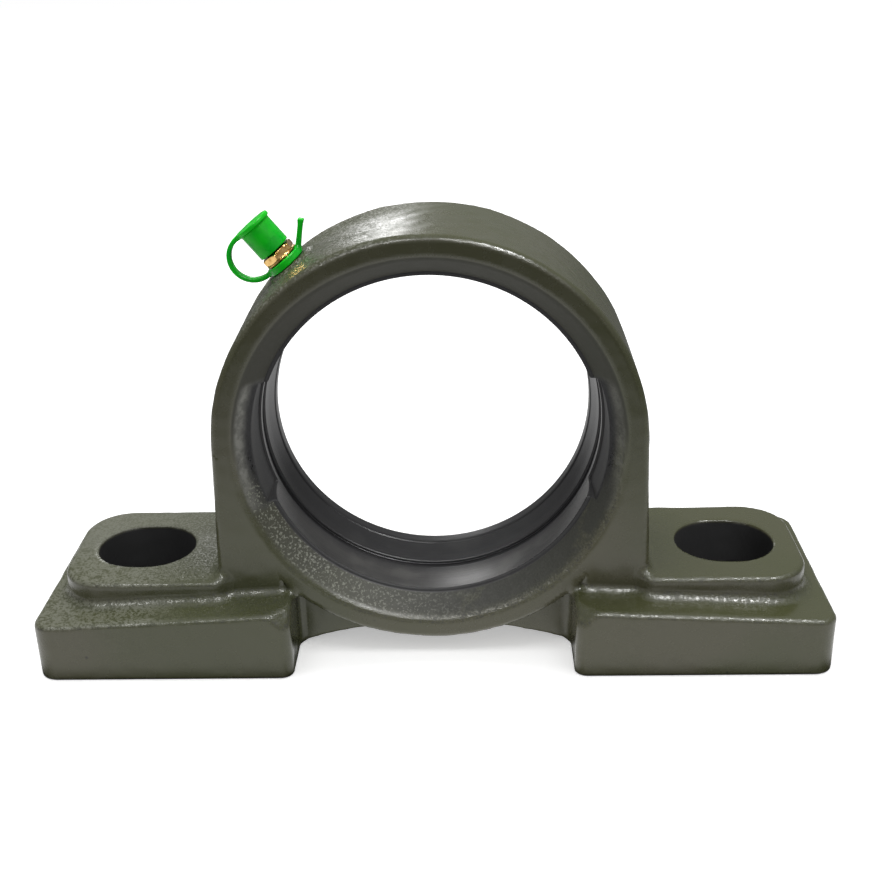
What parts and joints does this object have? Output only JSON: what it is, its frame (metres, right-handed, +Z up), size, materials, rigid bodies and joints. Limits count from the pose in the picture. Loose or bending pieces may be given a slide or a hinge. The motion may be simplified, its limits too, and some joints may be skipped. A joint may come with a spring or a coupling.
{
  "type": "pillow block bearing housing",
  "caption": "Empty cast iron pillow block for an insert bearing, with slotted feet, a spherical seat and a capped grease nipple.",
  "frame": {"origin": "middle of the mounting plane, under the bore's axis", "axes": "+X along the two feet, +Z up from the mounting plane, the bore along Y with its pocketed side at -Y"},
  "size_m": [0.167, 0.048, 0.0931],
  "materials": {
    "cast_paint": "glossy olive grey paint over a sand-cast surface",
    "nipple_brass": "turned and milled, bright",
    "ball_steel": "polished",
    "spring_steel": "drawn wire",
    "cap_plastic": "moulded soft polyethylene"
  },
  "bodies": {
    "base": {"housing": "cast_paint", "nipple_body": "nipple_brass", "nipple_spring": "spring_steel"},
    "check_ball": {"nipple_check_ball": "ball_steel"},
    "tether": {"cap_strap_ring": "cap_plastic", "cap_strap": "cap_plastic"},
    "cap": {"dust_cap": "cap_plastic"}
  },
  "joints": [
    {"name": "ball_press", "type": "slide", "parent": "base", "child": "check_ball", "axis": [0.6293, 0, -0.7771], "range_m": [0, 0.0012], "stiffness_N_per_m": 200, "deforming": ["nipple_spring"]},
    {"name": "tether_swivel", "type": "hinge", "parent": "base", "child": "tether", "pos_m": [-0.028, 0.0015, 0.08218], "axis": [-0.6293, 0, 0.7771], "continuous": true},
    {"name": "cap_pull", "type": "slide", "parent": "tether", "child": "cap", "axis": [-0.6293, 0, 0.7771], "range_m": [0, 0.0054], "deforming": ["cap_strap"]}
  ]
}
